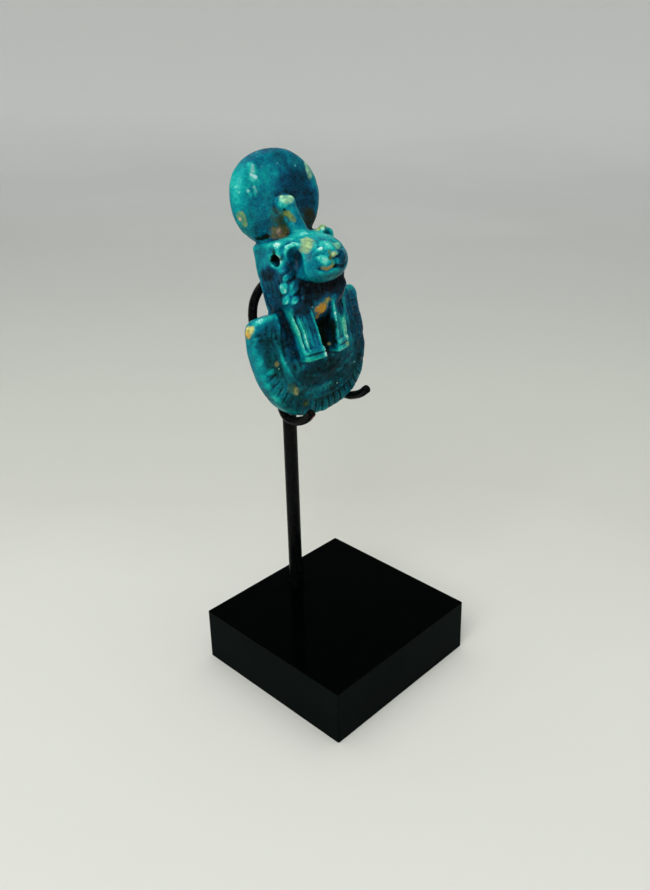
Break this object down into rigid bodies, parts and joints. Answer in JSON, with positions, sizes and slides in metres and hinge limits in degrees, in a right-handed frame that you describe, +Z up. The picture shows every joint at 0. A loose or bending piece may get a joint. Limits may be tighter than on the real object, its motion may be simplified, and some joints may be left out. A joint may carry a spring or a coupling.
{
  "type": "lion goddess amulet",
  "caption": "Turquoise faience amulet of a lioness goddess with sun disc, cobra, long wig and broad bead collar, leaning in a wire cradle on a rod and a black block",
  "frame": {"origin": "centre of the underside of the base block", "axes": "+Z is up, the amulet faces -Y and leans back towards +Y, and +X is to the right of someone who faces the amulet"},
  "size_m": [0.04, 0.04, 0.1103],
  "materials": {
    "faience": "glossy turquoise copper glaze with deep blue in the hollows and worn yellow-green spots",
    "acrylic": "polished black top with satin sides",
    "painted_rod": "black gloss paint over steel",
    "painted_wire": "black gloss paint, bare reddish metal at one tip"
  },
  "bodies": {
    "root": {"amulet": "faience", "base_block": "acrylic", "rod": "painted_rod", "cradle_wire": "painted_wire"}
  },
  "joints": []
}
